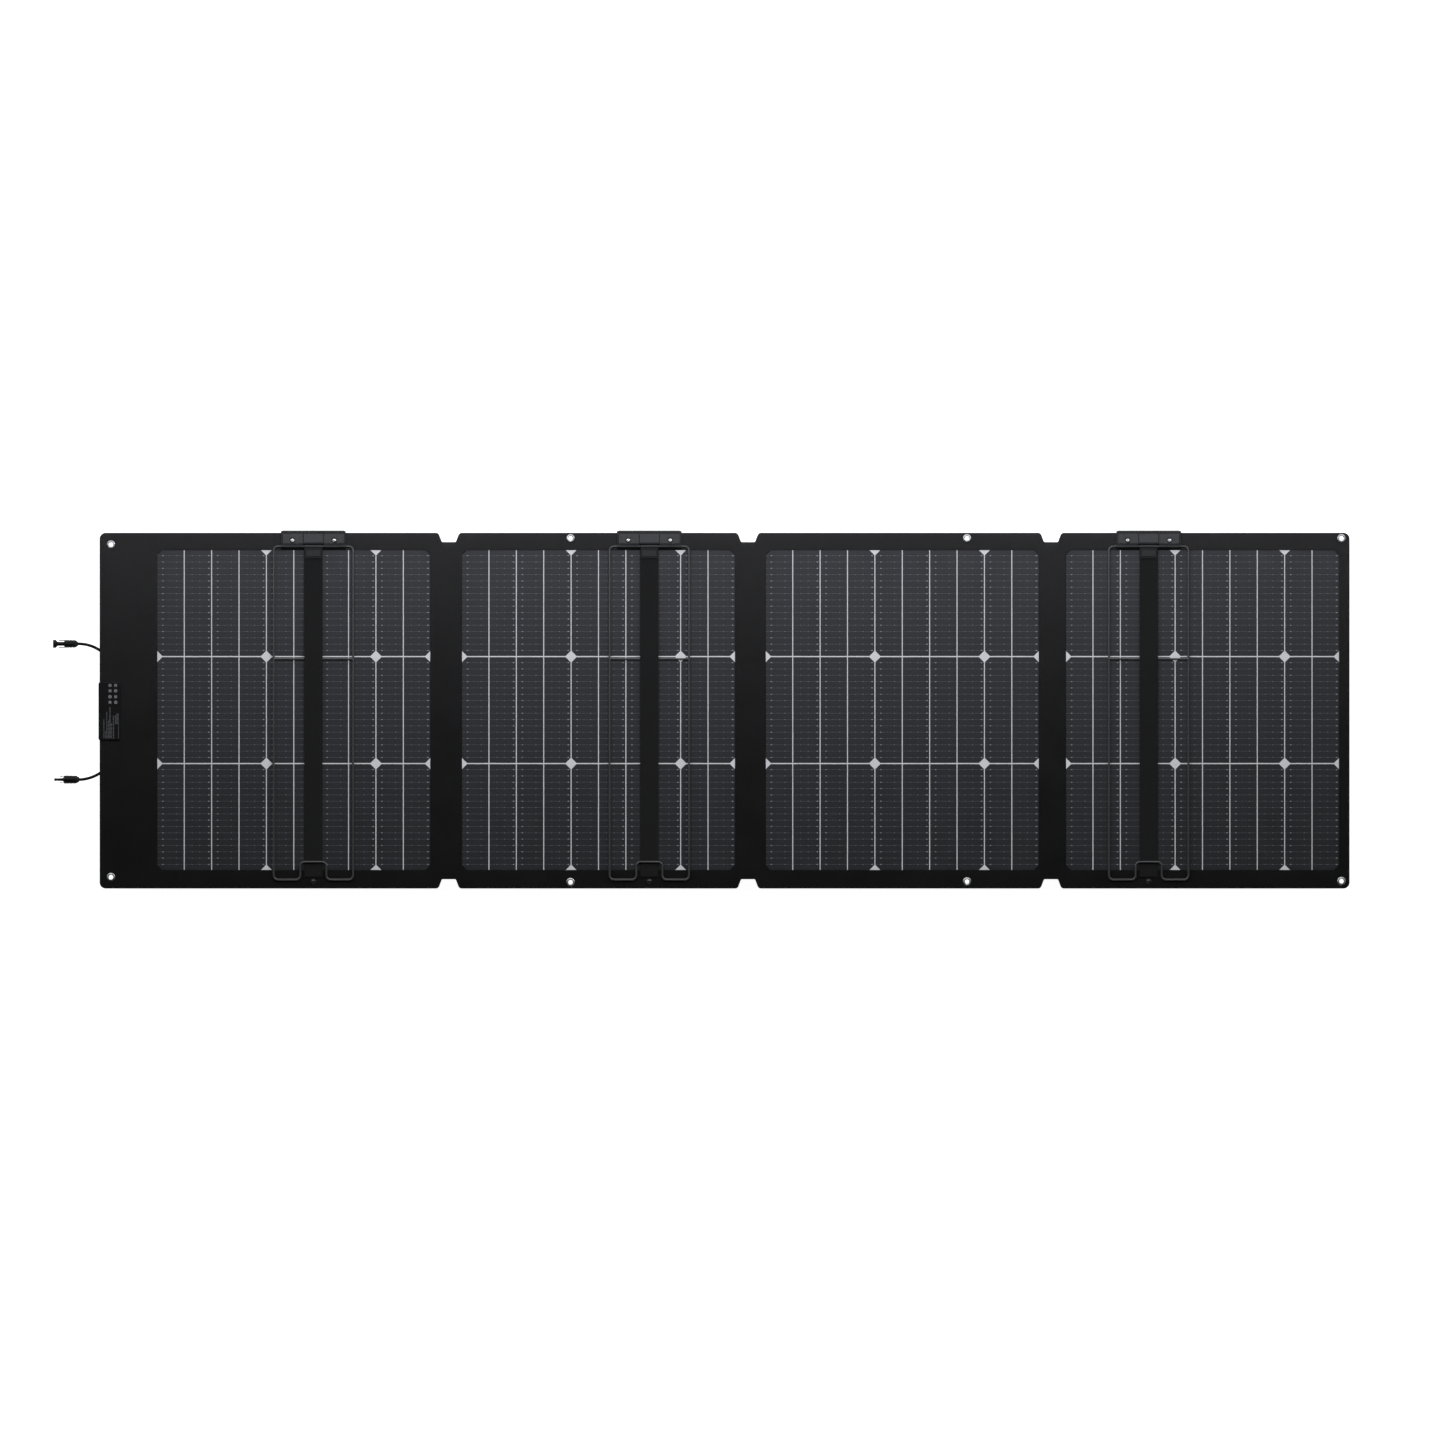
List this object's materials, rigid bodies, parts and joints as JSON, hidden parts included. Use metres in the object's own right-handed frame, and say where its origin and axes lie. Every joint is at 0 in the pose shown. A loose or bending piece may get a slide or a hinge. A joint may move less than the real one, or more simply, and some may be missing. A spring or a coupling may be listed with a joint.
{
  "type": "flexible solar sheet",
  "caption": "Folding solar sheet of fabric-bordered cell sections with fabric folds, wire kickstands in edge clamps, eyelets, a junction box and two connector leads.",
  "frame": {"origin": "on the ground under the middle of the sheet's box, measured without the leads and connectors", "axes": "+X along the row of sections, away from the junction box; +Y up the sheet to the edge that carries the stand clamps; +Z out of the rear face, which faces up"},
  "size_m": [2.2302, 0.616, 0.0143],
  "materials": {
    "border_fabric": "black coated fabric",
    "cell": "laminated dark cells",
    "gap_film": "pale grey film",
    "front_film": "clear film over dark cells",
    "plated_steel": "nickel plated",
    "clamp_plastic": "moulded satin",
    "black_wire": "black satin coat",
    "webbing": "black webbing",
    "black_plastic": "moulded black",
    "circuit_board": "solder mask",
    "cable_jacket": "black jacket"
  },
  "bodies": {
    "section_1": {"border_1": "border_fabric", "cells_1": "cell", "gap_film_1": "gap_film", "front_film_1": "front_film", "eyelet_1_top": "plated_steel", "eyelet_1_bottom": "plated_steel", "stand_clamp_1": "clamp_plastic", "clamp_screw_1_left": "plated_steel", "clamp_screw_1_right": "plated_steel", "strap_stud_1": "black_plastic", "junction_base": "black_plastic", "junction_cover": "black_plastic", "diode_board": "circuit_board", "lead_1": "cable_jacket", "socket_nut": "black_plastic", "socket_connector": "black_plastic", "lead_2": "cable_jacket", "plug_nut": "black_plastic", "plug_connector": "black_plastic"},
    "section_2": {"border_2": "border_fabric", "cells_2": "cell", "gap_film_2": "gap_film", "front_film_2": "front_film", "eyelet_2_top": "plated_steel", "eyelet_2_bottom": "plated_steel", "stand_clamp_2": "clamp_plastic", "clamp_screw_2_left": "plated_steel", "clamp_screw_2_right": "plated_steel", "strap_stud_2": "black_plastic", "fold_strip_12": "border_fabric", "fold_strip_23": "border_fabric"},
    "section_3": {"border_3": "border_fabric", "cells_3": "cell", "gap_film_3": "gap_film", "front_film_3": "front_film", "eyelet_3_top": "plated_steel", "eyelet_3_bottom": "plated_steel", "fold_strip_34": "border_fabric"},
    "section_4": {"border_4": "border_fabric", "cells_4": "cell", "gap_film_4": "gap_film", "front_film_4": "front_film", "eyelet_4_top": "plated_steel", "eyelet_4_bottom": "plated_steel", "stand_clamp_3": "clamp_plastic", "clamp_screw_3_left": "plated_steel", "clamp_screw_3_right": "plated_steel", "strap_stud_3": "black_plastic"},
    "leg_1": {"leg_wire_1": "black_wire", "strap_clip_1": "clamp_plastic", "strap_1": "webbing"},
    "leg_2": {"leg_wire_2": "black_wire", "strap_clip_2": "clamp_plastic", "strap_2": "webbing"},
    "leg_3": {"leg_wire_3": "black_wire", "strap_clip_3": "clamp_plastic", "strap_3": "webbing"}
  },
  "joints": [
    {"name": "fold_12", "type": "hinge", "parent": "section_2", "child": "section_1", "pos_m": [-0.4733, 0, -0.0005], "axis": [0, 1, 0], "range_deg": [-179, 0]},
    {"name": "fold_23", "type": "hinge", "parent": "section_2", "child": "section_3", "pos_m": [0.0413, 0, 0.0085], "axis": [0, 1, 0], "range_deg": [-177.5, 0]},
    {"name": "fold_34", "type": "hinge", "parent": "section_3", "child": "section_4", "pos_m": [0.5624, 0, -0.0005], "axis": [0, -1, 0], "range_deg": [-179, 0]},
    {"name": "stand_1_swing", "type": "hinge", "parent": "section_1", "child": "leg_1", "pos_m": [-0.7064, 0.2805, 0.0097], "axis": [-1, 0, 0], "range_deg": [0, 100]},
    {"name": "stand_2_swing", "type": "hinge", "parent": "section_2", "child": "leg_2", "pos_m": [-0.1285, 0.2805, 0.0097], "axis": [-1, 0, 0], "range_deg": [0, 100]},
    {"name": "stand_3_swing", "type": "hinge", "parent": "section_4", "child": "leg_3", "pos_m": [0.7305, 0.2805, 0.0097], "axis": [-1, 0, 0], "range_deg": [0, 100]}
  ]
}
